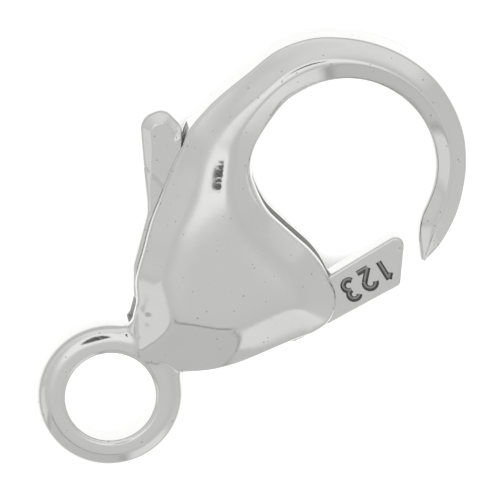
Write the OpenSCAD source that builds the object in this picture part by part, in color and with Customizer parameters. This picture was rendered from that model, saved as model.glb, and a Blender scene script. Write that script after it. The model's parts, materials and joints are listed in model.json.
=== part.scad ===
// Lobster clasp of cast silver with a fixed end ring and a sprung trigger.
// The ring's bore is at the origin along Z, the hook lies towards +Y and the front face looks along +Z.
// One casting carries ring, body and hook; the trigger turns in its slot on a blind pin.

/* [End ring] */
// Diameter of the ring's reamed hole
ring_hole_d = 2.54; // [2.2:0.02:3]
// Radial wall of the ring
ring_wall = 0.81; // [0.7:0.01:1]
// Thickness of the ring along its bore
ring_thick = 1.24; // [1.1:0.02:1.5]
// Length of the straight wall inside the bore
ring_land = 0.96; // [0.8:0.02:1.02]

/* [Body] */
// Width of the body from the hook's back to the lobe
body_width = 7.1; // [6.6:0.1:7.8]
// Rise from the ring's rim to the crotch of the loop
body_rise = 5; // [4.8:0.1:5.6]
// Full thickness at the body's crest
body_thick = 2.76; // [2.6:0.02:3.2]
// Full height of the side walls round the outline
rim_thick = 1.24; // [1.16:0.02:1.4]
// Width of the bevel that runs inside the outline
bevel_w = 0.66; // [0.5:0.02:0.8]
// Width over which the dome climbs behind the bevel
dome_w = 2.1; // [1.6:0.1:2.6]

/* [Hook] */
// Inner radius of the round loop
eye_r = 2.53; // [2.3:0.01:2.8]
// Width of the hook's bar at the top of the loop
bar_w = 1; // [0.85:0.01:1.2]
// Full thickness of the hook's bar at the top of the loop
bar_thick = 1.84; // [1.6:0.02:2.1]

/* [Trigger] */
// Thickness of the trigger plate
trigger_thick = 0.68; // [0.5:0.02:0.8]
// Gap on each side of the trigger in its slot
slot_gap = 0.05; // [0.03:0.01:0.08]
// Radius of the trigger's round hub
hub_r = 1.45; // [1.2:0.01:1.5]
// Width of the thumb tab
tab_w = 0.98; // [0.8:0.02:1.1]

/* [Pin and spring] */
// Diameter of the pivot pin
pin_d = 0.7; // [0.5:0.02:0.9]
// Radial clearance between the pin and the trigger's bore
pin_run_gap = 0.03; // [0.02:0.01:0.06]
// Radial gap between the pin and its sockets
pin_seat_gap = 0.01; // [0.01:0.005:0.02]
// Depth of each blind socket
socket_depth = 0.5; // [0.3:0.05:0.6]
// Thickness of the spring strip
spring_t = 0.1; // [0.06:0.01:0.12]
// Width of the spring strip
spring_w = 0.5; // [0.3:0.02:0.6]

/* [Hidden] */

silver = [0.80, 0.80, 0.79];
steel = [0.55, 0.56, 0.58];

ring_hole_r = ring_hole_d / 2;
ring_r = ring_hole_r + ring_wall;
rim_h = rim_thick / 2;
crest_h = body_thick / 2;
bar_h = bar_thick / 2;
crotch_y = ring_r + body_rise;
eye_at = [-0.011 * body_width, crotch_y + 0.9 * eye_r];
slot_h = trigger_thick / 2 + slot_gap;
pin_at = [-0.049 * body_width, ring_r + 0.354 * body_rise];
floor_stock = 0.12;
floor_r = ring_r + floor_stock;

// Body sections, from the edge between ring and lobe up to the neck of the hook. Each runs from
// the back edge (ax, ay) to the loop edge (bx, by): x in shares of body_width, y in shares of
// body_rise above the ring's rim. crest is the share of the body's full height over its rim,
// and bulge swells the section's line towards the ring, in shares of body_width.
//  ax      ay      bx      by    crest  bulge
BODY = [
  [ 0.146,  0.000,  0.386,  0.644, 1.00, 0.028],
  [ 0.063, -0.092,  0.398,  0.734, 1.00, 0.016],
  [-0.049, -0.092,  0.383,  0.820, 1.00, 0.005],
  [-0.134, -0.066,  0.338,  0.894, 1.00, 0],
  [-0.172,  0.004,  0.275,  0.932, 1.00, 0],
  [-0.208,  0.080,  0.204,  0.964, 1.00, 0],
  [-0.275,  0.168,  0.134,  0.976, 1.00, 0],
  [-0.338,  0.314,  0.056,  0.972, 1.00, 0],
  [-0.401,  0.464, -0.021,  0.968, 1.00, 0],
  [-0.454,  0.628, -0.092,  0.968, 0.97, 0],
  [-0.499,  0.764, -0.152,  0.988, 0.92, 0],
  [-0.528,  0.880, -0.214,  1.024, 0.85, 0],
  [-0.556,  0.985, -0.268,  1.068, 0.76, 0],
  [-0.575,  1.110, -0.310,  1.140, 0.66, 0],
  [-0.576,  1.244, -0.340,  1.244, 0.58, 0]];

// Hook sections round the loop's centre: angle, inner radius in shares of eye_r, bar width in
// shares of bar_w, and crest as the share of the bar's full height over its rim.
//  angle  inner   bar   crest
HOOK = [
  [180,   1.000, 1.39, 1.15],
  [165,   1.000, 1.41, 1.10],
  [150,   1.005, 1.35, 1.06],
  [135,   1.008, 1.21, 1.03],
  [120,   1.006, 1.12, 1.01],
  [105,   1.000, 1.07, 1.00],
  [ 90,   0.998, 1.03, 1.00],
  [ 75,   0.998, 0.97, 0.98],
  [ 60,   1.000, 0.93, 0.95],
  [ 45,   1.004, 0.88, 0.90],
  [ 32,   1.004, 0.88, 0.85],
  [ 21,   1.006, 0.92, 0.80],
  [ 12,   1.024, 0.92, 0.74],
  [  5,   1.080, 0.83, 0.64],
  [  0,   1.165, 0.64, 0.50],
  [ -4,   1.275, 0.38, 0.32],
  [ -7.5, 1.395, 0.13, 0.12]];

// A station holds ax, ay, bx, by, crest height and bulge in millimetres
function body_station(r) = [r[0] * body_width, ring_r + r[1] * body_rise, r[2] * body_width,
  ring_r + r[3] * body_rise, rim_h + r[4] * (crest_h - rim_h), r[5] * body_width];
function hook_station(r) = let (inner = r[1] * eye_r, outer = inner + r[2] * bar_w)
  [eye_at.x + outer * cos(r[0]), eye_at.y + outer * sin(r[0]),
   eye_at.x + inner * cos(r[0]), eye_at.y + inner * sin(r[0]),
   rim_h + r[3] * (bar_h - rim_h), 0];
STATIONS = concat([for (r = BODY) body_station(r)], [for (r = HOOK) hook_station(r)]);

// Smooth curve through the stations
last = len(STATIONS) - 1;
function knot(i) = STATIONS[max(0, min(last, i))];
function blend(p, q, r, s, f) = 0.5 * (2 * q + (r - p) * f + (2 * p - 5 * q + 4 * r - s) * f * f
  + (3 * q - p - 3 * r + s) * f * f * f);
function along(u) = let (i = min(last - 1, floor(u)))
  blend(knot(i - 1), knot(i), knot(i + 1), knot(i + 2), u - i);
steps = 2;
SECTIONS = [for (k = [0 : last * steps]) along(k / steps)];

// Cross profile: a bevel at each edge, then a low dome. soft() is a ramp with a rounded top.
ramp_round = 0.16;
function soft_raw(x) = 0.5 * (x + 1 - sqrt((x - 1) * (x - 1) + ramp_round));
function soft(x) = soft_raw(x) - soft_raw(0) * max(0, 1 - x);
function arch(x) = x >= 1 ? 1 : 1 - (1 - x) * (1 - x);
function narrower(w, limit) = 1 / sqrt(1 / (w * w) + 1 / (limit * limit));
bevel_share = 0.66;
bevel_limit_a = 0.42;
bevel_limit_b = 0.43;

end_a = [SECTIONS[0][0], SECTIONS[0][1]];
end_b = [SECTIONS[0][2], SECTIONS[0][3]];
end_dir = (end_b - end_a) / norm(end_b - end_a);
function end_distance(p) = max(0, (p - end_a) * [-end_dir.y, end_dir.x]);

function crest_at(p, da, db, width, crest) = let (
    wa = narrower(bevel_w, bevel_limit_a * width), wb = narrower(bevel_w, bevel_limit_b * width),
    wide = narrower(dome_w, 0.5 * width), de = end_distance(p),
    bevel = soft(da / wa) * soft(db / wb) * soft(de / bevel_w),
    dome = arch(da / wide) * arch(db / wide) * arch(de / dome_w))
  rim_h + (crest - rim_h) * (bevel_share * bevel + (1 - bevel_share) * dome);

// Shares across a section at which its height is taken
edge_steps = [0, 0.4, 0.75, 1.0];
mid_steps = [0.25, 0.5, 0.75];
function shares(width) = let (wa = narrower(bevel_w, bevel_limit_a * width) / width,
    wb = narrower(bevel_w, bevel_limit_b * width) / width, n = len(edge_steps) - 1,
    from = edge_steps[n] * wa, to = 1 - edge_steps[n] * wb)
  concat([for (k = edge_steps) k * wa], [for (m = mid_steps) from + m * (to - from)],
    [for (i = [n : -1 : 0]) 1 - edge_steps[i] * wb]);

function section_points(s) = let (a = [s[0], s[1]], b = [s[2], s[3]], width = norm(b - a),
    out = [b.y - a.y, a.x - b.x] / width)
  [for (t = shares(width)) let (
      p = a + t * (b - a) + 6.75 * t * (1 - t) * (1 - t) * s[5] * out,
      q = a + t * (b - a))
    [p.x, p.y, crest_at(q, t * width, (1 - t) * width, width, s[4])]];

FRONT = [for (s = SECTIONS) section_points(s)];
across = len(FRONT[0]);
function flip(p) = [p.x, p.y, -p.z];

// Skin of body and hook: each ring of points goes over the front and back under the rear
module body_and_hook() {
  n = 2 * across;
  m = len(FRONT);
  points = [for (row = FRONT) for (j = [0 : n - 1]) j < across ? row[j] : flip(row[n - 1 - j])];
  skin = [for (i = [0 : m - 2]) for (j = [0 : n - 1]) let (a = i * n + j, b = i * n + (j + 1) % n)
    each j < across ? [[a, a + n, b], [b, a + n, b + n]] : [[a, b + n, b], [a, a + n, b + n]]];
  caps = [for (i = [0, m - 1]) for (j = [0 : across - 2])
    let (a = i * n + j, b = a + 1, c = i * n + n - 2 - j, d = c + 1)
    each i == 0 ? [[a, b, c], [a, c, d]] : [[a, c, b], [a, d, c]]];
  polyhedron(points, concat(skin, caps), convexity = 8);
}

// Ring section: straight wall in the bore, full rounded shoulders outside. The stock inside the
// bore's radius is bored away with the rest of the casting.
ring_crest_at = 0.42;
ring_fullness = 0.8;
bore_stock = 0.2;
module ring_band() {
  crest_r = ring_hole_r + ring_crest_at * ring_wall;
  h = ring_thick / 2;
  land = ring_land / 2;
  half = concat([[ring_hole_r - bore_stock, 0], [ring_hole_r - bore_stock, land], [ring_hole_r, land]],
    [for (a = [30, 60]) [crest_r - (crest_r - ring_hole_r) * cos(a), land + (h - land) * sin(a)]],
    [for (a = [90 : -15 : 15]) [crest_r + (ring_r - crest_r) * pow(cos(a), ring_fullness),
      h * pow(sin(a), ring_fullness)]], [[ring_r, 0]]);
  whole = concat([for (i = [1 : len(half) - 1]) half[i]],
    [for (i = [len(half) - 2 : -1 : 1]) [half[i].x, -half[i].y]]);
  rotate_extrude($fn = 96) polygon(whole);
}

function spot(x, y) = [x * body_width, ring_r + y * body_rise];

// The trigger's lower edge runs straight from the hub to the tongue's heel
hub_inset = 0.99;
function hub_spot(angle) = pin_at + hub_inset * hub_r * [cos(angle), sin(angle)];
heel_start = hub_spot(-52);
tongue_heel = spot(0.387, 0.515);
heel_dir = (tongue_heel - heel_start) / norm(tongue_heel - heel_start);

// Outline of the space between the two shells, open to the back, the lobe and the loop. The web
// that joins the shells stands along the edge between ring and lobe, clear of the trigger.
web_gap = 0.08;
web_line = heel_start + web_gap * [heel_dir.y, -heel_dir.x];
web_knee = web_line + 0.31 * hub_r * heel_dir;
web_foot = spot(0.105, 0.02);
module slot_cut() {
  shoulder = [spot(-0.80, 1.10), spot(-0.562, 0.990), spot(-0.532, 0.904), spot(-0.470, 0.918),
    spot(-0.380, 1.075), spot(-0.305, 1.118), spot(-0.18, 1.35)];
  open_side = [spot(0.62, 1.35), spot(0.62, 0.6)];
  web = [web_line + 0.5 * body_width * heel_dir, web_knee, web_foot];
  difference() {
    linear_extrude(height = 2 * slot_h, center = true)
      polygon(concat(shoulder, open_side, web, [spot(0, -0.2), spot(-0.5, -0.12), spot(-0.8, 0)]));
    cylinder(h = 3 * slot_h, r = floor_r, center = true, $fn = 96);
  }
}

module at_pin() translate([pin_at.x, pin_at.y, 0]) children();

module cast_body() {
  color(silver) difference() {
    union() {
      body_and_hook();
      ring_band();
    }
    cylinder(h = 2 * body_thick, r = ring_hole_r, center = true, $fn = 96);
    slot_cut();
    at_pin() cylinder(h = 2 * (slot_h + socket_depth), d = pin_d + 2 * pin_seat_gap,
      center = true, $fn = 48);
  }
}

module pivot_pin() {
  color(steel) at_pin() cylinder(h = 2 * (slot_h + socket_depth - pin_seat_gap), d = pin_d,
    center = true, $fn = 48);
}

// Corner of an outline as an arc: previous, corner and next point with the fillet's radius
function arc_corner(p, c, n, r) = let (
    u = (p - c) / norm(p - c), v = (n - c) / norm(n - c), half = acos(u * v) / 2,
    reach = r / tan(half), bis = (u + v) / norm(u + v), mid = c + bis * r / sin(half),
    s = c + u * reach - mid, e = c + v * reach - mid, turn = 180 - 2 * half,
    side = s.x * e.y - s.y * e.x > 0 ? 1 : -1, count = max(2, round(turn / 15)))
  [for (k = [0 : count]) let (g = side * turn * k / count)
    mid + [s.x * cos(g) - s.y * sin(g), s.x * sin(g) + s.y * cos(g)]];
function rounded(rows) = let (m = len(rows)) [for (i = [0 : m - 1]) let (
    p = rows[(i + m - 1) % m], c = rows[i], n = rows[(i + 1) % m])
  each c[2] == 0 ? [[c[0], c[1]]] : arc_corner([p[0], p[1]], [c[0], c[1]], [n[0], n[1]], c[2])];
function corner(x, y, r) = let (p = spot(x, y)) [p.x, p.y, r];

// Trigger outline from the thumb tab down the back, round the hub and out along the tongue.
// The tab's far side is set off from its near side by tab_w.
tab_foot = spot(-0.428, 0.478);
tab_heel = spot(-0.722, 0.822);
tab_dir = (tab_heel - tab_foot) / norm(tab_heel - tab_foot);
tab_side = [tab_dir.y, -tab_dir.x] * tab_w;
function off(p, r) = [p.x, p.y, r];
module trigger_outline() {
  rows = [off(tab_foot, 0.5), corner(-0.309, 0.208, 0.4), corner(-0.232, 0.122, 0.4),
    off(hub_spot(-112), 0), off(heel_start, 0),
    off(tongue_heel, 0.35), corner(0.503, 1.183, 0.1), corner(0.351, 1.434, 0.26),
    corner(0.260, 0.884, 0.5), off(hub_spot(62), 0.4),
    corner(-0.250, 0.640, 0.6), corner(-0.470, 0.815, 0.2), corner(-0.530, 0.878, 0.3),
    off(tab_heel + tab_side, 0.42), off(tab_heel, 0.5)];
  polygon(rounded(rows));
}

notch_w = 1.1;
notch_top = 0.7;
notch_x = pin_at.x + 0.3;
module trigger() {
  color(silver) difference() {
    union() {
      linear_extrude(height = trigger_thick, center = true) trigger_outline();
      at_pin() cylinder(h = trigger_thick, r = hub_r, center = true, $fn = 72);
    }
    at_pin() cylinder(h = 2 * trigger_thick, d = pin_d + 2 * pin_run_gap, center = true, $fn = 48);
    translate([notch_x, pin_at.y - notch_top - hub_r, 0])
      cube([notch_w, 2 * hub_r, 2 * trigger_thick], center = true);
  }
}

// Hairpin strip in the notch under the hub: one leg on the trigger, the other along the slot's
// floor and up against the web's knee
function strip_side(p, w) = [for (i = [0 : len(p) - 1]) let (
    d = p[min(i + 1, len(p) - 1)] - p[max(i - 1, 0)], n = [-d.y, d.x] / norm(d)) p[i] + n * w];
leg_gap = 0.03;
turn_r = 0.14;
module return_spring() {
  half = spring_t / 2;
  near_x = notch_x - notch_w / 2 + leg_gap + half;
  low = floor_r + leg_gap + half;
  turn_y = low + turn_r + 2 * leg_gap;
  near_leg = [[near_x, pin_at.y - notch_top - half - leg_gap], [near_x, turn_y + 2 * half]];
  turn = [for (a = [180 : 20 : 270]) [near_x + turn_r * (1 + cos(a)), turn_y + turn_r * sin(a)]];
  far_leg = [[web_knee.x - 0.59, low + leg_gap], web_knee - [0.40, 0.56], web_knee - [0.24, 0.40],
    web_knee - [0.14, 0.22]];
  line = concat(near_leg, turn, far_leg);
  right = strip_side(line, -half);
  color(steel) linear_extrude(height = spring_w, center = true)
    polygon(concat(strip_side(line, half), [for (i = [len(right) - 1 : -1 : 0]) right[i]]));
}

cast_body();
pivot_pin();
trigger();
return_spring();
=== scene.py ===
# Lobster clasp in cast sterling silver: the finished surfaces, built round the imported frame.
# The clasp lies on its back, the ring's bore along Z and the hook towards +Y; front is +Z.
import json
import math

import bmesh
import bpy
import numpy as np
from mathutils import Matrix, Vector


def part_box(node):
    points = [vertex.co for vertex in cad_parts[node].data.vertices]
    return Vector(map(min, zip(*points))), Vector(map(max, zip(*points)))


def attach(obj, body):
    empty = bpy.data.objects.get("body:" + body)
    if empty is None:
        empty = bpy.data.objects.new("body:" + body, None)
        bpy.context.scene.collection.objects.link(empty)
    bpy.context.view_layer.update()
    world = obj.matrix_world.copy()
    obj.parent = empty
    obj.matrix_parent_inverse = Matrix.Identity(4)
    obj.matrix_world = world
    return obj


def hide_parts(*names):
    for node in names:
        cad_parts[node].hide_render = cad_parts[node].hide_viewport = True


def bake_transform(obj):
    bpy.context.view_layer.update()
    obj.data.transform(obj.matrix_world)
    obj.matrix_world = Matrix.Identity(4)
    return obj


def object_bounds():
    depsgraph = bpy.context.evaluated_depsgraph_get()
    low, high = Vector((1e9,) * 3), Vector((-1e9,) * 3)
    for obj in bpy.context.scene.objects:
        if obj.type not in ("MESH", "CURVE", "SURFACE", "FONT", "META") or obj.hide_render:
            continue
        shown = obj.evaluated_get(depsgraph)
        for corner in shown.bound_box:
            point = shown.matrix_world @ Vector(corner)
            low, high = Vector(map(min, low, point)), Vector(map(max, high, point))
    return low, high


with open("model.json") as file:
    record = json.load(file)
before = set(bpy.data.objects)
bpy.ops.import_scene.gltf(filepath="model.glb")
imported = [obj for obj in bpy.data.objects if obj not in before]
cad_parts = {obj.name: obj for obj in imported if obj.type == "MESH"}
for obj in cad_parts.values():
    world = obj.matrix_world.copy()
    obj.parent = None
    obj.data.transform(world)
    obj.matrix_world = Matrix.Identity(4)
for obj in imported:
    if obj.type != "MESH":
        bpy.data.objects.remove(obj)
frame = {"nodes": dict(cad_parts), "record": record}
cad_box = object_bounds()


# The casting. End ring, domed body and round hook are poured as one piece of sterling silver in
# a lost-wax mould, the slot for the trigger is sawn in from the back and the lobe, and the whole
# is tumbled bright. It carries the pin, the spring and the trigger.

MM = 0.001                              # the sizes below are in millimetres, the meshes in metres
RING_HOLE_R = next(m["dims"]["r_mm"] for m in frame["record"]["mounts"] if m["name"] == "ring_bore")
CAST_LOW = [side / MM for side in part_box("cast_body")[0]]
RING_R = -CAST_LOW[1]                   # rim of the end ring
RING_H = 0.62                           # half thickness of the ring
LAND_H = 0.48                           # half length of the straight wall in the bore
BODY_W = 7.1                            # body width from the hook's back to the lobe
BODY_RISE = 5.0                         # from the ring's rim to the crotch of the loop
BODY_H = 1.38                           # half thickness at the body's crest
RIM_H = 0.62                            # half height of the side walls
BEVEL_W = 0.67                          # bevel inside the hook's back and the body's left side
LOOP_BEVEL_W = 1.0                      # bevel inside the loop and the lobe
DOME_W = 2.1                            # reach of the dome behind the bevel
EYE_R = 2.53                            # inner radius of the round loop
BAR_W = 1.0                             # width of the hook's bar
BAR_H = 0.92                            # half thickness of the hook's bar
EDGE_ROLL = 0.08                        # rounding that tumbling leaves on the outline's edges
SLOT_H = 0.39                           # half height of the trigger's slot
EYE_AT = np.array([-0.011 * BODY_W, RING_R + BODY_RISE + 0.9 * EYE_R])
PIN_AT = np.array([-0.049 * BODY_W, RING_R + 0.354 * BODY_RISE])

# Body sections from the edge between ring and lobe up to the neck: back edge (ax, ay), loop edge
# (bx, by), x in shares of BODY_W, y in shares of BODY_RISE above the ring, and the crest's share.
#    ax      ay      bx      by    crest
BODY = [
    [0.146, 0.000, 0.386, 0.644, 1.00], [0.063, -0.092, 0.398, 0.734, 1.00],
    [-0.049, -0.092, 0.383, 0.820, 1.00], [-0.134, -0.066, 0.338, 0.894, 1.00],
    [-0.172, 0.004, 0.275, 0.932, 1.00], [-0.208, 0.080, 0.204, 0.964, 1.00],
    [-0.275, 0.168, 0.134, 0.976, 1.00], [-0.338, 0.314, 0.056, 0.972, 1.00],
    [-0.401, 0.464, -0.021, 0.968, 0.99], [-0.454, 0.628, -0.092, 0.968, 0.94],
    [-0.499, 0.764, -0.152, 0.988, 0.83], [-0.528, 0.880, -0.214, 1.024, 0.63],
    [-0.563, 0.985, -0.268, 1.068, 0.49], [-0.575, 1.110, -0.310, 1.140, 0.45],
    [-0.576, 1.244, -0.340, 1.244, 0.44]]
# Hook sections round the loop: angle, inner radius in EYE_R, width in BAR_W, the crest's share
# and how far the top leans outwards
HOOK = [
    [180, 1.000, 1.39, 1.15, 0.36], [165, 1.000, 1.41, 1.10, 0.30], [150, 1.005, 1.35, 1.06, 0.15],
    [135, 1.008, 1.21, 1.03, 0.06], [120, 1.006, 1.12, 1.01, 0.00], [105, 1.000, 1.07, 1.00, 0.00],
    [90, 0.998, 1.03, 1.00, 0.00], [75, 0.998, 0.97, 0.98, 0.00], [60, 1.000, 0.93, 0.95, 0.05],
    [45, 1.004, 0.88, 0.90, 0.10], [32, 1.004, 0.88, 0.85, 0.10], [21, 1.006, 0.92, 0.80, 0.10],
    [12, 1.024, 0.92, 0.74, 0.10], [5, 1.080, 0.83, 0.64, 0.10], [0, 1.165, 0.64, 0.50, 0.10],
    [-4, 1.275, 0.38, 0.32, 0.10], [-7.5, 1.395, 0.13, 0.12, 0.10]]
ROWS_PER_GAP = 12                       # rows on the smooth curve from one section to the next
FALL_OFF = 1.2                          # slope that carries a surface on outside its outline


def spot(x, y):
    """A point of the body from its shares of the width and of the rise above the ring."""
    return np.array([x * BODY_W, RING_R + y * BODY_RISE])


def smooth_rows(rows, per_step):
    """Rows on one smooth curve through the given rows, per_step of them to each gap."""
    rows = np.array(rows, float)
    padded = np.vstack([rows[:1], rows, rows[-1:]])
    f = np.arange(per_step)[:, None] / per_step
    out = []
    for p, q, r, s in zip(padded, padded[1:], padded[2:], padded[3:]):
        out.append(0.5 * (2 * q + (r - p) * f + (2 * p - 5 * q + 4 * r - s) * f ** 2
                          + (3 * q - p - 3 * r + s) * f ** 3))
    return np.vstack(out + [rows[-1:]])


def smoothstep(low, high, x):
    t = np.clip((x - low) / (high - low), 0, 1)
    return t * t * (3 - 2 * t)


def casting_sections():
    """Sections of body and hook as rows of ax, ay, bx, by and crest height in millimetres, the
    lean of the top and how far the section counts as the hook's bar."""
    neck_lean = HOOK[0][4]
    upright_from, upright_at = 1.8, 4.2     # widths over which the top's lean dies away
    bar_at, body_at = 1.5, 2.8              # widths of a plain bar and of a plain body
    rows = []
    for ax, ay, bx, by, crest in BODY:
        rows.append([*spot(ax, ay), *spot(bx, by), RIM_H + crest * (BODY_H - RIM_H), neck_lean])
    for angle, inner, bar, crest, lean in HOOK:
        ray = np.array([math.cos(math.radians(angle)), math.sin(math.radians(angle))])
        near = inner * EYE_R
        far = near + bar * BAR_W
        height = RIM_H + crest * (BAR_H - RIM_H)
        rows.append([*(EYE_AT + far * ray), *(EYE_AT + near * ray), height, lean])
    rows = smooth_rows(rows, ROWS_PER_GAP)
    span = np.linalg.norm(rows[:, 0:2] - rows[:, 2:4], axis=1)
    rows[:, 5] *= 1 - smoothstep(upright_from, upright_at, span)
    return np.column_stack([rows, 1 - smoothstep(bar_at, body_at, span)])


def smooth_max(a, b, reach):
    """The larger of two heights or depths, with a rounded seam where they lie within reach."""
    h = np.maximum(reach - np.abs(a - b), 0) / reach
    return np.maximum(a, b) + h * h * reach / 4


def handfuls(points):
    """Slices that take the points 3000 at a time, which keeps the arrays over them small."""
    return [slice(k, k + 3000) for k in range(0, len(points), 3000)]


def line_distance(points, line):
    """Distance from each point to an open line of straight pieces."""
    start, step = line[:-1], np.diff(line, axis=0)
    length2 = np.maximum((step ** 2).sum(1), 1e-12)
    out = np.empty(len(points))
    for some in handfuls(points):
        gap = points[some, None] - start
        t = np.clip((gap * step).sum(2) / length2, 0, 1)
        out[some] = np.sqrt(((gap - t[..., None] * step) ** 2).sum(2).min(1))
    return out


def inside(points, loop):
    """Whether each point lies inside a closed loop of straight pieces."""
    a, b = loop, np.roll(loop, -1, axis=0)
    out = np.empty(len(points), bool)
    for some in handfuls(points):
        x, y = points[some, :1], points[some, 1:]
        spans = (a[:, 1] > y) != (b[:, 1] > y)
        rise = np.where(b[:, 1] == a[:, 1], 1, b[:, 1] - a[:, 1])
        cross = a[:, 0] + (y - a[:, 1]) / rise * (b[:, 0] - a[:, 0])
        out[some] = (spans & (x < cross)).sum(1) % 2 == 1
    return out


def signed_depth(points, loop):
    """Depth of each point inside a closed loop, negative outside it."""
    depth = line_distance(points, np.vstack([loop, loop[:1]]))
    return np.where(inside(points, loop), depth, -depth)


def soft_weights(points, line, power):
    """Weight of each short piece of a line at each point, falling with distance to the power."""
    middle = (line[1:] + line[:-1]) / 2
    length = np.sqrt((np.diff(line, axis=0) ** 2).sum(1))
    gap2 = ((points[:, None] - middle) ** 2).sum(2)
    return length * np.maximum(gap2, 1e-8) ** (-power / 2)


def soft_distance(points, line):
    """Distance to a line with the creases inside its bends melted away."""
    power, melt_from, melt_to = 8, 0.08, 0.3    # right at the line the exact distance holds
    scale = math.gamma(power / 2) / (math.sqrt(math.pi) * math.gamma((power - 1) / 2))
    exact = line_distance(points, line)
    soft = np.empty(len(points))
    for some in handfuls(points):
        total = soft_weights(points[some], line, power).sum(1)
        soft[some] = (scale * total) ** (-1 / (power - 1))
    return exact + smoothstep(melt_from, melt_to, exact) * (soft - exact)


SECTIONS = casting_sections()
RAIL_A, RAIL_B = SECTIONS[:, 0:2], SECTIONS[:, 2:4]
# The edge from the ring to the lobe bulges most a third of the way along, by END_BULGE: there
# t * (1 - t) ** 2 is 1 / 6.75
END_BULGE = 0.028 * BODY_W
end_t = np.linspace(0, 1, 40)[:, None]
end_run = RAIL_B[0] - RAIL_A[0]
end_out = np.array([end_run[1], -end_run[0]]) / np.linalg.norm(end_run)
END_EDGE = RAIL_A[0] + end_t * end_run + 6.75 * end_t * (1 - end_t) ** 2 * END_BULGE * end_out
HORN_LOOP = np.vstack([END_EDGE, RAIL_B[1:], RAIL_A[:0:-1]])
MIDLINE = (RAIL_A + RAIL_B) / 2
# The edges that the two bevels follow; the back one runs on straight past its lower corner
corner = 5 * ROWS_PER_GAP
past_corner = RAIL_A[corner] + 1.5 * (RAIL_A[corner] - RAIL_A[corner + ROWS_PER_GAP])
BACK_LINE = np.vstack([past_corner, RAIL_A[corner:]])
LOOP_LINE = np.vstack([END_EDGE, RAIL_B[1:]])
# Two flat panels slope from the body's crest to the ring: each one's way into the body, how far
# its foot lies from the middle of the ring, and its width
FOOT_PANELS = [([0.515, 0.857], 1.086, 1.19), ([-0.554, 0.833], 1.329, 1.37)]


def ramp(x, turn):
    """A bevel's straight slope up to 1 with a rounded shoulder, the rounder the larger turn is."""
    raw = 0.5 * (x + 1 - np.sqrt((x - 1) ** 2 + turn))
    foot = 0.5 * (1 - np.sqrt(1 + turn))
    return raw - foot * np.maximum(0, 1 - x)


def arch(x):
    """A dome's rise from 0 at its edge to 1 at the end of its reach."""
    return 1 - np.maximum(1 - x, 0) ** 2


def narrower(width, limit):
    """A width that stays below a limit, smoothly."""
    return 1 / np.sqrt(1 / width ** 2 + 1 / np.maximum(limit, 1e-6) ** 2)


def along_casting(points, column):
    """A column of the sections at each point, blended from the sections that lie nearest."""
    middle = (SECTIONS[1:, column] + SECTIONS[:-1, column]) / 2
    out = np.empty(len(points))
    for some in handfuls(points):
        weight = soft_weights(points[some], MIDLINE, 6)
        out[some] = (weight * middle).sum(1) / weight.sum(1)
    return out


def dome_height(points, depth, bar, rim):
    """Height of body and hook over the points inside them, falling off steeply outside. The bar
    of the hook has crisper bevels than the body, and its top leans outwards."""
    body_turn, bar_turn = 0.11, 0.01        # rounding of the bevels' shoulders
    body_share, bar_share = 0.66, 0.9       # share of the crest that the bevels give
    neck_extra, bar_extra = 0.22, 0.4       # the back bevel is wider at the neck and on the bar
    neck_in, neck_out = (1.6, 2.1), (2.5, 3.5)          # widths over which the neck comes and goes
    back_most, loop_most, bar_most = 0.55, 0.4, 0.15    # shares of the width the bevels may take
    panel_turn, panel_seam, bevel_seam = 0.04, 0.14, 0.06
    height = rim + FALL_OFF * np.minimum(depth, 0)
    inner = (depth > 0) | (np.linalg.norm(points, axis=1) < RING_R)
    p = points[inner]
    if len(p) == 0:
        return height
    bar, rim = bar[inner], rim[inner]
    da, db = (soft_distance(p, line) for line in (BACK_LINE, LOOP_LINE))
    crest = along_casting(p, 4)
    width = np.maximum(da + db, 0.01)
    neck = smoothstep(*neck_in, width) * (1 - smoothstep(*neck_out, width))
    wa = narrower(BEVEL_W + neck_extra * neck + bar_extra * bar, back_most * width)
    wb = narrower(LOOP_BEVEL_W, (loop_most + bar_most * bar) * width)
    reach = narrower(DOME_W, 0.5 * width)
    turn = body_turn + (bar_turn - body_turn) * bar
    share = body_share + (bar_share - body_share) * bar
    left, front = (ramp((p @ inwards - foot) / panel_w, panel_turn)
                   for inwards, foot, panel_w in FOOT_PANELS)
    panels = -smooth_max(-left, -front, panel_seam)
    bevel = -smooth_max(-ramp(da / wa, turn) * ramp(db / wb, turn), -panels, bevel_seam)
    dome = arch(da / reach) * arch(db / reach) * smoothstep(-0.1, 0.7, panels)
    lean = 1 + along_casting(p, 5) * (da - db) / width
    height[inner] = rim + (crest - rim) * (share * bevel + (1 - share) * dome) * lean
    return height


def casting_edge(points):
    """Depth inside the outline and width of the rounded edge at each point; the nearer of the
    outline's edge and the bore's edge counts."""
    fillet, blend_reach, ring_roll, bore_roll = 0.35, 0.4, 0.18, 0.14
    radius = np.linalg.norm(points, axis=1)
    horn, disc = signed_depth(points, HORN_LOOP), RING_R - radius
    depth, bore = smooth_max(horn, disc, fillet), radius - RING_HOLE_R
    ring = smoothstep(-blend_reach, blend_reach, disc - horn)
    width = EDGE_ROLL + ring * (ring_roll - EDGE_ROLL)
    at_bore = bore - bore_roll < depth - width
    return {"depth": np.where(at_bore, bore, depth), "width": np.where(at_bore, bore_roll, width),
            "horn": horn, "disc": disc, "ring": ring, "at_bore": at_bore}


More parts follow.
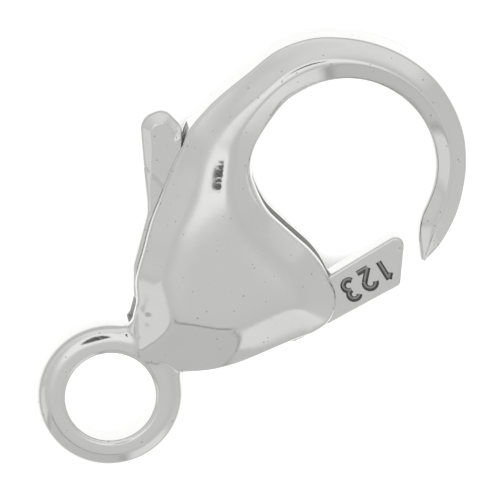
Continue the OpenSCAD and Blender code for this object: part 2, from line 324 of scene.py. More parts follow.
def casting_heights(points, edge):
    """Height of the top surface and of the straight wall below the edge at each point. The ring
    is flat on top, rounded off outwards and worn to a slight facet on one side."""
    seam, bar_rim_drop = 0.1, 0.08
    ring_top_r, ring_fall, ring_wall_h = 1.62, 0.95, 0.18
    facet_tilt, facet_way, facet_at, facet_seam = 17, [-0.867, 0.499], 1.136, 0.02
    bar = along_casting(points, 6)
    rim = RIM_H - bar_rim_drop * bar
    beyond = np.maximum(np.linalg.norm(points, axis=1) - ring_top_r, 0)
    ring_top = RING_H - ring_fall * beyond ** 2 + FALL_OFF * np.minimum(edge["disc"], 0)
    facet = facet_at - math.tan(math.radians(facet_tilt)) * (points @ facet_way)
    ring_top = -smooth_max(-ring_top, -facet, facet_seam)
    top = smooth_max(dome_height(points, edge["horn"], bar, rim), ring_top, seam)
    wall = (rim - EDGE_ROLL) * (1 - edge["ring"]) + ring_wall_h * edge["ring"]
    return top, np.where(edge["at_bore"], LAND_H, wall)


def quarter_round(x):
    """Share of the full height at a share x of the rounded edge's width."""
    return np.sqrt(1 - np.clip(1 - x, 0, 1) ** 2)


def slope_of(points, value_of):
    """Gradient at each point of a measure that value_of gives."""
    h = 0.004
    return np.stack([(value_of(points + step) - value_of(points - step)) / (2 * h)
                     for step in np.diag([h, h])], axis=1)


def plate_mesh(name, edge_of, heights_of, low, high, spacing, strip_rows, wall_rows):
    """A plate with the same front and back. Its face is a square grid fitted to the outline, its
    edge is strip_rows rows on a quarter round and its wall is straight, in wall_rows rows."""
    snap = 0.36 * spacing               # grid points this near the face's edge are moved onto it

    def margin_at(p):
        edge = edge_of(p)
        return edge["depth"] - edge["width"]

    def settled(p, measure, least):
        """Points moved to where the measure is 0; least keeps the step short on weak slopes."""
        pull = slope_of(p, measure)
        return p - (measure(p) / np.maximum((pull ** 2).sum(1), least))[:, None] * pull

    xs, ys = (np.arange(a, b + spacing, spacing) for a, b in zip(low, high))
    grid = np.stack(np.meshgrid(xs, ys), -1).reshape(-1, 2)
    margin = margin_at(grid)
    near = np.abs(margin) < snap
    for _ in range(2):
        grid[near] = settled(grid[near], margin_at, 0.2)
    state = np.where(near, 0, np.sign(margin)).astype(int)
    number = np.arange(len(grid)).reshape(len(ys), len(xs))
    cells = np.stack([number[:-1, :-1], number[:-1, 1:], number[1:, 1:], number[1:, :-1]], -1)
    cells = cells.reshape(-1, 4)
    states = state[cells]
    some = (states > 0).any(1)
    faces = cells[some & (states >= 0).all(1)].tolist()
    extra, extra_at = [], {}

    def crossing(a, b):
        key = (min(a, b), max(a, b))
        if key not in extra_at:
            extra_at[key] = len(grid) + len(extra)
            share = margin[a] / (margin[a] - margin[b])
            extra.append(grid[a] + share * (grid[b] - grid[a]))
        return extra_at[key]

    for cell in cells[some & (states < 0).any(1)].tolist():
        corners = []
        for a, b in zip(cell, cell[1:] + cell[:1]):
            corners += [a] if state[a] >= 0 else []
            corners += [crossing(a, b)] if state[a] * state[b] < 0 else []
        if len(corners) >= 3:
            faces.append(corners)
    points = np.vstack([grid, np.array(extra).reshape(-1, 2)])
    used = np.unique(np.concatenate([np.array(face) for face in faces]))
    renumber = np.full(len(points), -1)
    renumber[used] = np.arange(len(used))
    points = points[used]
    faces = [renumber[face].tolist() for face in faces]

    edge = edge_of(points)
    top, wall = heights_of(points, edge)
    heights = wall + (top - wall) * quarter_round(np.maximum(edge["depth"], 0) / edge["width"])
    sides = {(a, b) for face in faces for a, b in zip(face, face[1:] + face[:1])}
    rim_edges = sorted((a, b) for a, b in sides if (b, a) not in sides)
    rim = np.array(sorted({a for a, b in rim_edges}))
    place = {int(v): k for k, v in enumerate(rim)}

    width, wall = edge["width"][rim], wall[rim]
    start = np.arccos(np.clip(1 - edge["depth"][rim] / width, 0, 1))
    at, rows = points[rim].copy(), []
    for k in range(1, strip_rows + 1):
        angle = start * (1 - k / strip_rows)
        target = width * (1 - np.cos(angle))
        for _ in range(2):
            at = settled(at, lambda p: edge_of(p)["depth"] - target, 0.3)
        top_here = heights_of(at, edge_of(at))[0]
        rows.append(np.column_stack([at, wall + (top_here - wall) * np.sin(angle)]))

    front = np.vstack([np.column_stack([points, heights])] + rows)
    middle = [np.column_stack([at, wall * (1 - 2 * k / wall_rows)]) for k in range(1, wall_rows)]
    verts = np.vstack([front, front * [1, 1, -1]] + middle) * MM
    n, m, total = len(points), len(rim), len(front)
    faces += [[v + total for v in reversed(face)] for face in faces]
    first = [n + m * k for k in range(strip_rows)]

    def band(v):
        """The points below one another from a rim point on the front to its twin on the back."""
        k = place[v]
        down = [v] + [row + k for row in first]
        wall_points = [2 * total + m * row + k for row in range(wall_rows - 1)]
        return down + wall_points + [w + total for w in reversed(down)]

    for a, b in rim_edges:
        one, two = band(a), band(b)
        faces += [(two[i], one[i], one[i + 1], two[i + 1]) for i in range(len(one) - 1)]
    mesh = bpy.data.meshes.new(name)
    mesh.from_pydata(verts.tolist(), [], faces)
    mesh.validate()
    piece = bpy.data.objects.new(name, mesh)
    bpy.context.collection.objects.link(piece)
    return piece


def prism(name, outline, half_height):
    """A straight block on an outline, used to saw or punch a piece and then thrown away."""
    form = bmesh.new()
    face = form.faces.new([form.verts.new((x * MM, y * MM, -half_height * MM)) for x, y in outline])
    pushed = bmesh.ops.extrude_face_region(form, geom=[face])["geom"]
    lifted = [v for v in pushed if isinstance(v, bmesh.types.BMVert)]
    bmesh.ops.translate(form, verts=lifted, vec=(0, 0, 2 * half_height * MM))
    bmesh.ops.recalc_face_normals(form, faces=form.faces)
    mesh = bpy.data.meshes.new(name)
    form.to_mesh(mesh)
    form.free()
    block = bpy.data.objects.new(name, mesh)
    bpy.context.collection.objects.link(block)
    return block


def apply_modifiers(piece):
    """Turns a piece with modifiers into the plain mesh that they make."""
    bpy.context.view_layer.update()
    shaped = piece.evaluated_get(bpy.context.evaluated_depsgraph_get())
    mesh = bpy.data.meshes.new_from_object(shaped)
    piece.modifiers.clear()
    piece.data = mesh
    return piece


def cut_away(piece, blocks):
    """Cuts the blocks out of the piece, which takes on their finish there, and removes them."""
    for block in blocks:
        cut = piece.modifiers.new("cut", "BOOLEAN")
        cut.operation, cut.solver, cut.object = "DIFFERENCE", "MANIFOLD", block
        cut.material_mode = "TRANSFER"
        apply_modifiers(piece)
        bpy.data.objects.remove(block)
    return piece


def shade(piece, crease_degrees):
    """Smooth shading with sharp edges where two faces meet at more than the crease angle."""
    piece.data.shade_smooth()
    piece.data.set_sharp_from_angle(angle=math.radians(crease_degrees))
    return piece


def arc_points(centre, radius, start, end, count):
    """Evenly spaced points on an arc between two angles in degrees."""
    angles = np.radians(np.linspace(start, end, count))
    return np.array(centre) + radius * np.column_stack([np.cos(angles), np.sin(angles)])


def linear(code):
    """An sRGB hex colour as the linear colour that the shaders take."""
    parts = [int(code[i:i + 2], 16) / 255 for i in (1, 3, 5)]
    return [*(c / 12.92 if c <= 0.04045 else ((c + 0.055) / 1.055) ** 2.4 for c in parts), 1.0]


def add(tree, kind, inputs=None, **settings):
    """Adds a node with its settings; an input is a value, the socket that feeds it, or None."""
    node = tree.nodes.new(kind)
    for key, value in settings.items():
        setattr(node, key, value)
    for key, value in (inputs or {}).items():
        if isinstance(value, bpy.types.NodeSocket):
            tree.links.new(value, node.inputs[key])
        elif value is not None:
            node.inputs[key].default_value = value
    return node


def tumbled_silver(name, bright, dull, roughness, grain_depth, scratch_depth):
    """Sterling silver, cast, pickled and tumbled in steel shot: a clear mirror over the casting's
    fine grain, with dents from the shot, a few pits, hairline scratches and a duller bloom. Real
    grain and scratches are a few microns wide; they are drawn 0.03 to 0.17 mm wide, to show."""
    bloom_size, bloom_levels, bloom_rough = 1.6, (0.35, 0.7), 0.05
    pit_gap, pit_edge, pit_depth = 0.33, (0.03, 0.11), 0.003
    scratch_w, scratch_l, scratch_levels, scratch_rough = 0.03, 0.8, (0.70, 0.78), 0.08
    # Dents, grain and the finer grain: the size, detail and depth of each
    reliefs = [(0.9, 1.0, 0.0035), (0.17, 2.0, grain_depth), (0.06, 1.0, 0.3 * grain_depth)]
    material = bpy.data.materials.new(name)
    material.use_nodes = True
    tree = material.node_tree
    tree.nodes.clear()
    place = add(tree, "ShaderNodeTexCoord").outputs["Object"]
    bloom = add(tree, "ShaderNodeTexNoise", {
        "Vector": place, "Scale": 1 / (bloom_size * MM), "Detail": 4.0,
        "Roughness": 0.55}).outputs["Fac"]
    heights = []
    for size, detail, depth in reliefs:
        relief = add(tree, "ShaderNodeTexNoise", {
            "Vector": place, "Scale": 1 / (size * MM), "Detail": detail, "Roughness": 0.55})
        heights.append((relief.outputs["Fac"], depth))
    scratches = 0.0
    for turn in (0.35, 1.45, 2.6):
        lane = add(tree, "ShaderNodeMapping", {
            "Vector": place, "Rotation": (0.0, 0.0, turn),
            "Scale": (scratch_w / scratch_l, 1.0, scratch_w / scratch_l)})
        lines = add(tree, "ShaderNodeTexNoise", {
            "Vector": lane.outputs["Vector"], "Scale": 1 / (scratch_w * MM), "Detail": 1.0,
            "Roughness": 0.55})
        deepest = add(tree, "ShaderNodeMapRange", {
            "Value": lines.outputs["Fac"], "From Min": scratch_levels[0],
            "From Max": scratch_levels[1]})
        scratches = add(tree, "ShaderNodeMath", {0: deepest.outputs["Result"], 1: scratches},
                        operation="MAXIMUM").outputs["Value"]
    cells = add(tree, "ShaderNodeTexVoronoi", {
        "Vector": place, "Scale": 1 / (pit_gap * MM), "Randomness": 1.0})
    unpitted = add(tree, "ShaderNodeMapRange", {
        "Value": cells.outputs["Distance"], "From Min": pit_edge[0],
        "From Max": pit_edge[1]}).outputs["Result"]
    heights += [(scratches, -scratch_depth), (unpitted, pit_depth)]
    normal = None
    for height, depth in heights:
        normal = add(tree, "ShaderNodeBump", {
            "Height": height, "Distance": depth * MM, "Normal": normal}).outputs["Normal"]
    patchy = add(tree, "ShaderNodeMapRange", {
        "Value": bloom, "From Min": bloom_levels[0], "From Max": bloom_levels[1],
        "To Min": roughness, "To Max": roughness + bloom_rough})
    worn = add(tree, "ShaderNodeMath", {
        0: scratches, 1: scratch_rough, 2: patchy.outputs["Result"]}, operation="MULTIPLY_ADD")
    colour = add(tree, "ShaderNodeMix", {
        "Factor": bloom, "A": linear(bright), "B": linear(dull)}, data_type="RGBA")
    pitted = add(tree, "ShaderNodeMix", {
        "Factor": unpitted, "A": linear("#C2C2BF"), "B": colour.outputs["Result"]},
        data_type="RGBA")
    metal = add(tree, "ShaderNodeBsdfPrincipled", {
        "Base Color": pitted.outputs["Result"], "Metallic": 1.0,
        "Roughness": worn.outputs["Value"], "Normal": normal})
    add(tree, "ShaderNodeOutputMaterial", {"Surface": metal.outputs["BSDF"]})
    return material


def pickled_silver(name, hex_code):
    """Silver as the acid leaves it where no shot can reach: a matt skin that scatters the light.
    Its crystals of a few microns are drawn 0.05 mm wide, to show."""
    crystal = 0.05
    material = bpy.data.materials.new(name)
    material.use_nodes = True
    tree = material.node_tree
    tree.nodes.clear()
    place = add(tree, "ShaderNodeTexCoord").outputs["Object"]
    frost = add(tree, "ShaderNodeTexNoise", {"Vector": place, "Scale": 1 / (crystal * MM)})
    bump = add(tree, "ShaderNodeBump", {"Height": frost.outputs["Fac"], "Distance": 0.003 * MM})
    skin = add(tree, "ShaderNodeBsdfPrincipled", {
        "Base Color": linear(hex_code), "Metallic": 0.5, "Roughness": 0.7,
        "Normal": bump.outputs["Normal"]})
    add(tree, "ShaderNodeOutputMaterial", {"Surface": skin.outputs["BSDF"]})
    return material


casting = plate_mesh("casting", casting_edge, casting_heights, low=[-4.6, -2.3], high=[3.8, 13.1],
                     spacing=0.045, strip_rows=7, wall_rows=3)

HUB_R = 1.45                            # round hub of the trigger


def hub_spot(degrees):
    """A point just inside the hub's rim."""
    return arc_points(PIN_AT, 0.99 * HUB_R, degrees, degrees, 1)[0]


HEEL_START, TONGUE_HEEL = hub_spot(-52), spot(0.387, 0.515)
heel_dir = (TONGUE_HEEL - HEEL_START) / np.linalg.norm(TONGUE_HEEL - HEEL_START)
WEB_GAP = 0.08                          # room between the trigger and the web that joins the shells
web_line = HEEL_START + WEB_GAP * np.array([heel_dir[1], -heel_dir[0]])
web_knee = web_line + 0.31 * HUB_R * heel_dir
FLOOR_R = RING_R + 0.12                 # the slot's floor runs round the ring
# The slot runs out past the back and the lobe, and ends at the web and round the ring
slot_outline = np.vstack([
    [spot(-0.80, 1.10), spot(-0.562, 0.990), spot(-0.532, 0.904), spot(-0.470, 0.918),
     spot(-0.380, 1.075), spot(-0.305, 1.118), spot(-0.18, 1.35), spot(0.62, 1.35),
     spot(0.62, 0.6), web_line + 0.5 * BODY_W * heel_dir, web_knee],
    arc_points([0, 0], FLOOR_R, 68, 190, 40), [spot(-0.8, 0)]])
PIN_R = 0.35
SOCKET_R = PIN_R + 0.01                 # the shells' sockets grip the pin
SOCKET_DEPTH = 0.5
casting.data.materials.append(tumbled_silver(
    "tumbled_cast_silver", "#F5F5F4", "#EFEFEE", 0.08, grain_depth=0.0010, scratch_depth=0.0002))
socket_outline = arc_points(PIN_AT, SOCKET_R, 0, 352.5, 48)
cuts = [prism("slot", slot_outline, SLOT_H),
        prism("sockets", socket_outline, SLOT_H + SOCKET_DEPTH)]
unpolished = pickled_silver("pickled_silver", "#A2A2A0")
for block in cuts:
    block.data.materials.append(unpolished)
cut_away(casting, cuts)
shade(casting, 40)
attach(casting, "casting")
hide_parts("cast_body")


# The pivot pin. A short length of drawn stainless wire, pressed blind between the two shells
# before they are closed, so that nothing of it shows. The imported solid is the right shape.

def drawn_steel(name, hex_code, roughness):
    """Drawn or rolled steel: grey, with fine lines along its length that draw the light out. Real
    draw lines are a few microns wide; they are drawn 0.03 mm wide, to show."""
    line_w, line_stretch = 0.03, 25
    material = bpy.data.materials.new(name)
    material.use_nodes = True
    tree = material.node_tree
    tree.nodes.clear()
    place = add(tree, "ShaderNodeTexCoord").outputs["Object"]
    drawn = add(tree, "ShaderNodeMapping", {"Vector": place, "Scale": (
        1 / (line_w * MM), 1 / (line_w * MM), 1 / (line_stretch * line_w * MM))})
    lines = add(tree, "ShaderNodeTexNoise", {
        "Vector": drawn.outputs["Vector"], "Scale": 1.0, "Detail": 3.0})
    rough = add(tree, "ShaderNodeMapRange", {
        "Value": lines.outputs["Fac"], "To Min": roughness, "To Max": roughness + 0.2})
    bump = add(tree, "ShaderNodeBump", {"Height": lines.outputs["Fac"], "Distance": 0.002 * MM})
    metal = add(tree, "ShaderNodeBsdfPrincipled", {
        "Base Color": linear(hex_code), "Metallic": 1.0, "Roughness": rough.outputs["Result"],
        "Normal": bump.outputs["Normal"]})
    add(tree, "ShaderNodeOutputMaterial", {"Surface": metal.outputs["BSDF"]})
    return material


pin = frame["nodes"]["pivot_pin"]
pin.data.materials.clear()
pin.data.materials.append(drawn_steel("drawn_stainless_wire", "#C4C4C6", 0.22))


# The return spring. A narrow strip of hard rolled steel bent to a hairpin: one leg stands in the
# notch of the trigger's hub, the other lies along the slot's floor and bears on the web.

STRIP_T, STRIP_W = 0.1, 0.5             # thickness and width of the strip
LEG_GAP = 0.03                          # room between the strip and the walls beside it
TURN_R = 0.14                           # inner bend between the legs
NOTCH_W, NOTCH_TOP = 1.1, 0.7           # the hub's notch: its width and its top below the pin
NOTCH_X = PIN_AT[0] + 0.3
near_x = NOTCH_X - NOTCH_W / 2 + LEG_GAP + STRIP_T / 2
strip_low = FLOOR_R + LEG_GAP + STRIP_T / 2
turn_y = strip_low + TURN_R + 2 * LEG_GAP
# Down beside the notch's wall, round the bend, along the floor and up to bear on the web
strip_path = np.vstack([
    [[near_x, PIN_AT[1] - NOTCH_TOP - STRIP_T / 2 - LEG_GAP], [near_x, turn_y + STRIP_T]],
    arc_points([near_x + TURN_R, turn_y], TURN_R, 180, 270, 7),
    [[web_knee[0] - 0.59, strip_low + LEG_GAP]],
    web_knee + [[-0.40, -0.56], [-0.24, -0.40], [-0.14, -0.22]]])


def path_mesh(name, points, height):
    """A bare line of edges through points in millimetres, for a node tree to follow."""
    corners = [(x * MM, y * MM, height * MM) for x, y in points]
    mesh = bpy.data.meshes.new(name)
    mesh.from_pydata(corners, [(i, i + 1) for i in range(len(corners) - 1)], [])
    piece = bpy.data.objects.new(name, mesh)
    bpy.context.collection.objects.link(piece)
    return piece


def sweep_tree(name, material, sizes, section, mode):
    """A tree that sweeps a four-sided section along a path, with capped ends. It has one input
    for each named size; section says which size, or which fixed value, each side takes."""
    tree = bpy.data.node_groups.new(name, "GeometryNodeTree")
    tree.interface.new_socket("Geometry", in_out="INPUT", socket_type="NodeSocketGeometry")
    tree.interface.new_socket("Geometry", in_out="OUTPUT", socket_type="NodeSocketGeometry")
    for size in sizes:
        tree.interface.new_socket(size, in_out="INPUT", socket_type="NodeSocketFloat")
    given = add(tree, "NodeGroupInput").outputs
    curve = add(tree, "GeometryNodeMeshToCurve", {"Mesh": given["Geometry"]})
    level = add(tree, "GeometryNodeSetCurveNormal", {"Curve": curve.outputs["Curve"]}, mode="Z_UP")
    sides = {side: given[size] if size in sizes else size for side, size in section.items()}
    outline = add(tree, "GeometryNodeCurvePrimitiveQuadrilateral", sides, mode=mode)
    swept = add(tree, "GeometryNodeCurveToMesh", {
        "Curve": level.outputs["Curve"], "Profile Curve": outline.outputs["Curve"],
        "Fill Caps": True})
    real = add(tree, "GeometryNodeRealizeInstances", {"Geometry": swept.outputs["Mesh"]})
    coated = add(tree, "GeometryNodeSetMaterial", {
        "Geometry": real.outputs["Geometry"], "Material": material})
    add(tree, "NodeGroupOutput", {"Geometry": coated.outputs["Geometry"]})
    return tree


def swept(piece, tree, sizes):
    """The piece with the tree's sizes set, by their sockets' identifiers, and made a plain mesh."""
    modifier = piece.modifiers.new(tree.name, "NODES")
    modifier.node_group = tree
    for item in tree.interface.items_tree:
        if item.item_type == "SOCKET" and item.in_out == "INPUT" and item.name in sizes:
            modifier[item.identifier] = sizes[item.name] * MM
    return apply_modifiers(piece)


strip_tree = sweep_tree(
    "bent_strip", drawn_steel("rolled_spring_steel", "#9B9CA0", 0.3), ["Thickness", "Width"],
    {"Width": "Thickness", "Height": "Width"}, "RECTANGLE")
spring = swept(path_mesh("return_spring_strip", strip_path, 0), strip_tree,
               {"Thickness": STRIP_T, "Width": STRIP_W})
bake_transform(spring)
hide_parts("return_spring")


# The trigger. One plate of silver, blanked and filed up: the thumb tab stands out at the back,
# the round hub turns on the pin inside the body and the tongue closes the hook's mouth. Plain
# figures are punched into the tongue; the tab's outer edge is filed to a facet.

TRIGGER_H = 0.34                        # half thickness of the plate
TAB_W = 0.98                            # width of the thumb tab
BORE_R = PIN_R + 0.03                   # the plate turns freely on the pin
PLATE_ROLL = 0.07                       # rounding of the plate's edges


def round_corner(before, corner, after, radius):
    """Points of the arc that rounds one corner of an outline."""
    u = (before - corner) / np.linalg.norm(before - corner)
    v = (after - corner) / np.linalg.norm(after - corner)
    half = math.acos(np.clip(u @ v, -1, 1)) / 2
    bis = (u + v) / np.linalg.norm(u + v)
    centre = corner + bis * radius / math.sin(half)
    s, e = (corner + w * radius / math.tan(half) - centre for w in (u, v))
    side = 1 if s[0] * e[1] - s[1] * e[0] > 0 else -1
    turn = side * (math.pi - 2 * half)
    angles = turn * np.linspace(0, 1, max(4, round(abs(turn) / math.radians(5))))
    across = np.array([-s[1], s[0]])
    return [centre + s * math.cos(g) + across * math.sin(g) for g in angles]


TAB_FOOT, TAB_HEEL = spot(-0.428, 0.478), spot(-0.722, 0.822)
tab_dir = (TAB_HEEL - TAB_FOOT) / np.linalg.norm(TAB_HEEL - TAB_FOOT)
tab_side = TAB_W * np.array([tab_dir[1], -tab_dir[0]])
plate_heel = TONGUE_HEEL + [-0.1, 0.1]
# Corners of the plate with the radius of each, from the tab's foot round by the hub, the tongue
# and back to the tab's tip
corners = [
    (TAB_FOOT, 0.5), (spot(-0.312, 0.205), 0.4), (spot(-0.223, 0.080), 0.3), (hub_spot(-112), 0),
    (HEEL_START, 0), (plate_heel, 0.35), (spot(0.503, 1.183), 0.1), (spot(0.351, 1.434), 0.26),
    (spot(0.260, 0.884), 0.5), (hub_spot(62), 0.4), (spot(-0.250, 0.640), 0.6),
    (spot(-0.463, 0.827), 0.2), (spot(-0.523, 0.890), 0.3), (spot(-0.585, 0.966), 0.3),
    (spot(-0.684, 0.970), 0.4), (spot(-0.723, 0.828), 0.5)]
plate_outline = []
for k, (at, radius) in enumerate(corners):
    before, after = corners[k - 1][0], corners[(k + 1) % len(corners)][0]
    plate_outline += round_corner(before, at, after, radius) if radius else [at]
plate_outline = np.array(plate_outline)


def trigger_edge(points):
    """Depth inside plate, hub and notch and the width of the rounded edge at each point."""
    hub_seam = 0.02
    plate = signed_depth(points, plate_outline)
    from_pin = np.linalg.norm(points - PIN_AT, axis=1)
    beside_notch = np.abs(points[:, 0] - NOTCH_X) - NOTCH_W / 2
    above_notch = points[:, 1] - (PIN_AT[1] - NOTCH_TOP)
    depth = np.minimum(smooth_max(plate, HUB_R - from_pin, hub_seam), from_pin - BORE_R)
    depth = np.minimum(depth, np.maximum(beside_notch, above_notch))
    return {"depth": depth, "plate": plate, "width": np.full(len(points), PLATE_ROLL)}


def trigger_heights(points, edge):
    """Height of the plate, of the slightly raised thumb pad and of the broad round-off that runs
    along the tab's outer side and over its tip; and of the straight wall below."""
    foot_w, tip_w, foot_drop, tip_drop = 0.10, 0.27, 0.12, 0.25     # the round-off's two ends
    pad_rise, pad_edge, pad_way, pad_from = 0.03, 0.04, (0.59, 0.81), 0.836
    roll_drop, wall_share, shoulder = 0.1, 0.75, 0.004
    along = (points - TAB_FOOT) @ tab_dir
    across = (points - TAB_FOOT) @ (tab_side / TAB_W)
    # The round-off grows along the tab and spreads over the whole width at its tip
    tip = smoothstep(0.2, 2.1, along)
    outer = 1 - smoothstep(0.55, 0.95, across - 0.6 * smoothstep(1.9, 2.6, along))
    drop = (foot_drop + (tip_drop - foot_drop) * tip) * outer * smoothstep(-0.2, 0.3, along)
    round_off = drop * (1 - ramp(edge["plate"] / (foot_w + (tip_w - foot_w) * tip), shoulder))
    up_pad = pad_way[0] * along + pad_way[1] * across - pad_from
    pad = pad_rise * smoothstep(-pad_edge, pad_edge, up_pad)
    return TRIGGER_H - round_off + pad, TRIGGER_H - roll_drop - wall_share * drop


trigger = plate_mesh("trigger_plate", trigger_edge, trigger_heights, low=[-5.2, 2.2],
                     high=[3.8, 9.6], spacing=0.036, strip_rows=5, wall_rows=3)

# Strokes of the punched figures in shares of their height: straight runs (x, y) to (x, y), and
# arcs of a centre (x, y), a radius and two angles in degrees
FIGURE_H = 0.60
FIGURES = {
    "1": [("run", -0.17, 0.74, 0.04, 1.00), ("run", 0.04, 1.00, 0.04, 0.00)],
    "2": [("arc", 0.00, 0.72, 0.27, 170, -38), ("run", 0.213, 0.554, -0.28, 0.00),
          ("run", -0.28, 0.00, 0.30, 0.00)],
    "3": [("arc", -0.02, 0.75, 0.25, 150, -90), ("arc", -0.02, 0.25, 0.27, 90, -150)]}
# Where each figure stands on the tongue: its middle, from the tip inwards
FIGURE_PLACES = [("1", 2.912, 7.988), ("2", 2.772, 7.474), ("3", 2.661, 6.923)]
READING = np.array([-0.237, -0.972])    # the way the figures read
UPWARD = np.array([0.972, -0.237])
PUNCH_MOUTH, PUNCH_FLOOR, PUNCH_DEPTH = 0.2, 0.06, 0.06


def figure_strokes(figure, middle):
    """The lines of a figure's strokes on the plate, in millimetres."""
    strokes = []
    for kind, *sizes in FIGURES[figure]:
        if kind == "run":
            shape = np.array(sizes).reshape(2, 2)
        else:
            x, y, radius, start, end = sizes
            shape = arc_points([x, y], radius, start, end, 15)
        shape = FIGURE_H * (shape - [0, 0.5])
        strokes.append(np.array(middle) + shape[:, :1] * READING + shape[:, 1:] * UPWARD)
    return strokes


trigger.data.materials.append(tumbled_silver(
    "filed_plate_silver", "#F4F4F3", "#ECECEB", 0.1, grain_depth=0.0018, scratch_depth=0.001))
# The punch's section is narrow below and wide above; it stands half out of the plate
punch_tree = sweep_tree(
    "punched_stroke", tumbled_silver("punched_groove_silver", "#B9B9B8", "#8E8E8D", 0.3,
                                     grain_depth=0.004, scratch_depth=0.001),
    ["Mouth", "Floor", "Depth"],
    {"Bottom Width": "Mouth", "Top Width": "Floor", "Offset": 0.0, "Height": "Depth"}, "TRAPEZOID")
cut_away(trigger, [
    swept(path_mesh("punch", stroke, TRIGGER_H), punch_tree,
          {"Mouth": PUNCH_MOUTH, "Floor": PUNCH_FLOOR, "Depth": 2 * PUNCH_DEPTH})
    for figure, *middle in FIGURE_PLACES for stroke in figure_strokes(figure, middle)])
shade(trigger, 40)
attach(trigger, "trigger")
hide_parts("trigger")


# The table. A sheet of plain white card, brightly lit, on which the clasp lies by its own
# weight. Its fibres are the only pattern, and it is kept out of the metal's reflections.

rest_z = min(cad_box[0][2], CAST_LOW[2] * MM)
CARD_HALF = 1.0                         # half the side of the sheet, in metres
FIBRE = 0.4                             # real fibres lie ten times closer; drawn coarse to show
card = bpy.data.meshes.new("card")
card.from_pydata([(x * CARD_HALF, y * CARD_HALF, rest_z)
                  for x, y in ((-1, -1), (1, -1), (1, 1), (-1, 1))], [], [(0, 1, 2, 3)])
floor = bpy.data.objects.new("card", card)
bpy.context.collection.objects.link(floor)
paper = bpy.data.materials.new("white_card")
paper.use_nodes = True
sheet = paper.node_tree
sheet.nodes.clear()
place = add(sheet, "ShaderNodeTexCoord").outputs["Object"]
fibres = add(sheet, "ShaderNodeTexNoise", {"Vector": place, "Scale": 1 / (FIBRE * MM)})
tint = add(sheet, "ShaderNodeMix", {
    "Factor": fibres.outputs["Fac"], "A": linear("#FAFAFA"), "B": linear("#F6F6F6")},
    data_type="RGBA")
matt = add(sheet, "ShaderNodeBsdfPrincipled", {
    "Base Color": tint.outputs["Result"], "Roughness": 0.9})
add(sheet, "ShaderNodeOutputMaterial", {"Surface": matt.outputs["BSDF"]})
card.materials.append(paper)
floor.visible_glossy = False


# The light. The clasp stands in a small tent of white cloth: a grey ceiling, brighter walls that
# meet in seams, and an opening through which the lens looks in. The tent is fixed in the room.

LEAN = math.radians(17)                 # the lens stands this far from straight above
lean_way = np.array([-0.867, 0.499, 0.0])
toward_lens = math.sin(LEAN) * lean_way + math.cos(LEAN) * np.array([0, 0, 1.0])
picture_right = (math.sqrt(0.5), math.sqrt(0.5), 0)
picture_up = (-math.sqrt(0.5), math.sqrt(0.5), 0)

# Tones of the ceiling by the angle from the lens in degrees; the first two are the dark opening
CEILING = [(0, 0.10), (5.9, 0.10), (7.0, 0.88), (14, 0.88), (20, 0.83), (26, 0.67), (32, 0.60),
           (37, 0.58), (44, 0.57), (52, 0.555), (90, 0.58), (180, 0.58)]
# Tones of the walls round the tent in degrees from the picture's right, with the seams
WALLS = [(-180, 0.61), (-178, 0.59), (-175, 0.55), (-170, 0.70), (-143, 0.72), (-138, 0.40),
         (-133, 0.55), (-81, 0.53), (-77, 0.36), (-72, 0.74), (-52, 0.78), (-41, 0.60),
         (-20, 0.585), (14, 0.565), (26, 0.57), (40, 0.74), (110, 0.765), (128, 0.68),
         (150, 0.64), (170, 0.61), (180, 0.61)]
# Angle from straight above at which the walls begin, by the same angle round the tent
EAVES = [(-180, 46), (-165, 44), (-140, 34), (-120, 31), (-80, 30), (-60, 34), (-40, 46),
         (0, 56), (50, 48), (90, 40), (130, 42), (180, 46)]
# Where ceiling and walls meet at the front, their hem shows as a darker line: half its width in
# degrees, the way round to its middle, the cosines between which it fades out, and its tone
HEM_W, HEM_AT, HEM_ENDS, HEM_TONE = 3, -103, (0.88, 0.91), 0.22
# Tones below the tent's walls: the far room and the lit table, each with the angles from straight
# above over which it takes over
BELOW = [(90, 97, 0.54), (112, 126, 1.08)]


def tones(tree, angle, table, low, high):
    """The table's tone at an angle that is given in radians, between low and high degrees."""
    share = add(tree, "ShaderNodeMapRange", {
        "Value": angle, "From Min": math.radians(low), "From Max": math.radians(high)})
    curve = add(tree, "ShaderNodeValToRGB", {"Fac": share.outputs["Result"]})
    elements = curve.color_ramp.elements
    for k, (at, tone) in enumerate(table):
        at = (at - low) / (high - low)
        element = (elements[k] if k < 1 else
                   elements.new(at) if k < len(table) - 1 else elements[-1])
        element.position, element.color = at, (tone, tone, tone, 1)
    return curve.outputs["Color"]


world = bpy.data.worlds.new("light_tent")
world.use_nodes = True
bpy.context.scene.world = world
tent = world.node_tree
tent.nodes.clear()
way = add(tent, "ShaderNodeTexCoord").outputs["Generated"]
to_lens, to_top, to_up, to_right = (
    add(tent, "ShaderNodeVectorMath", {0: way, 1: tuple(direction)},
        operation="DOT_PRODUCT").outputs["Value"]
    for direction in (toward_lens, (0, 0, 1), picture_up, picture_right))
from_lens, from_above = (
    add(tent, "ShaderNodeMath", {0: cosine}, operation="ARCCOSINE").outputs["Value"]
    for cosine in (to_lens, to_top))
round_about = add(tent, "ShaderNodeMath", {0: to_up, 1: to_right},
                  operation="ARCTAN2").outputs["Value"]
eaves = tones(tent, round_about, [(at, math.radians(start)) for at, start in EAVES], -180, 180)
down_wall = add(tent, "ShaderNodeMath", {0: from_above, 1: eaves},
                operation="SUBTRACT").outputs["Value"]
on_wall = add(tent, "ShaderNodeMapRange", {"Value": down_wall, "From Max": math.radians(12)},
              interpolation_type="SMOOTHSTEP")
off_hem = add(tent, "ShaderNodeMath", {0: down_wall}, operation="ABSOLUTE")
hem = add(tent, "ShaderNodeMapRange", {
    "Value": off_hem.outputs["Value"], "From Max": math.radians(HEM_W),
    "To Min": 1.0, "To Max": 0.0})
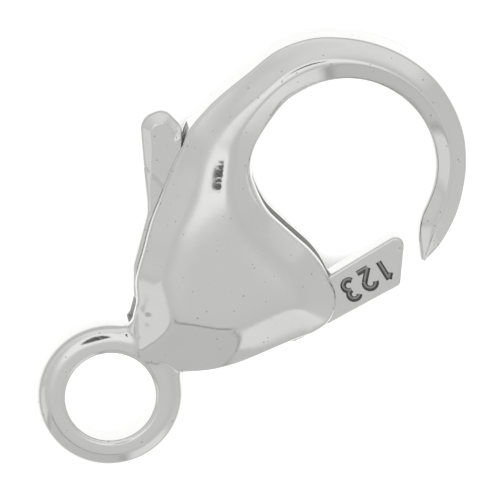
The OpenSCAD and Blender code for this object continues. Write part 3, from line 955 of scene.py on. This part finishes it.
aside = add(tent, "ShaderNodeMath", {0: round_about, 1: -math.radians(HEM_AT)}, operation="ADD")
facing_front = add(tent, "ShaderNodeMath", {0: aside.outputs["Value"]}, operation="COSINE")
at_front = add(tent, "ShaderNodeMapRange", {
    "Value": facing_front.outputs["Value"], "From Min": HEM_ENDS[0], "From Max": HEM_ENDS[1]})
hem_share = add(tent, "ShaderNodeMath", {
    0: hem.outputs["Result"], 1: at_front.outputs["Result"]}, operation="MULTIPLY")
layers = [(on_wall.outputs["Result"], tones(tent, round_about, WALLS, -180, 180)),
          (hem_share.outputs["Value"], HEM_TONE)]
for start, end, tone in BELOW:
    layers.append((add(tent, "ShaderNodeMapRange", {
        "Value": from_above, "From Min": math.radians(start),
        "From Max": math.radians(end)}).outputs["Result"], tone))
seen = tones(tent, from_lens, CEILING, 0, 180)
for share, tone in layers:
    seen = add(tent, "ShaderNodeMix", {"Factor": share, "A": seen, "B": tone},
               data_type="FLOAT").outputs["Result"]
backdrop = add(tent, "ShaderNodeBackground", {"Color": (1, 1, 1, 1), "Strength": seen})
add(tent, "ShaderNodeOutputWorld", {"Surface": backdrop.outputs["Background"]})

lamp = bpy.data.lights.new("overhead_lamp", "SUN")
lamp.energy = 7.0
lamp.angle = math.radians(80)           # as wide as a softbox
lamp_holder = bpy.data.objects.new("overhead_lamp", lamp)
lamp_holder.rotation_euler = (math.radians(12), math.radians(-10), 0)
lamp_holder.visible_glossy = False
bpy.context.collection.objects.link(lamp_holder)
bpy.context.scene.view_settings.view_transform = "Standard"


# The camera. A long lens leaning 17 degrees from straight above, with the clasp's length running
# up to the right of the picture.

VIEW_MM = 14.07                         # width of the picture at the clasp
LENS_MM, SENSOR_MM = 1500.0, 36.0
aim = np.array([-0.074, 5.66, 0.0]) * MM
distance = VIEW_MM * MM * LENS_MM / SENSOR_MM
lens = bpy.data.cameras.new("lens")
lens.lens, lens.sensor_width = LENS_MM, SENSOR_MM
lens.clip_start, lens.clip_end = distance * 0.1, distance * 10
camera = bpy.data.objects.new("camera", lens)
bpy.context.collection.objects.link(camera)
tilt_axis = Vector(np.cross([0, 0, 1], lean_way))
facing_down = Matrix.Rotation(LEAN, 3, tilt_axis) @ Matrix.Rotation(math.radians(45), 3, "Z")
station = Matrix.Translation(Vector(aim + distance * toward_lens))
camera.matrix_world = station @ facing_down.to_4x4()
bpy.context.scene.camera = camera
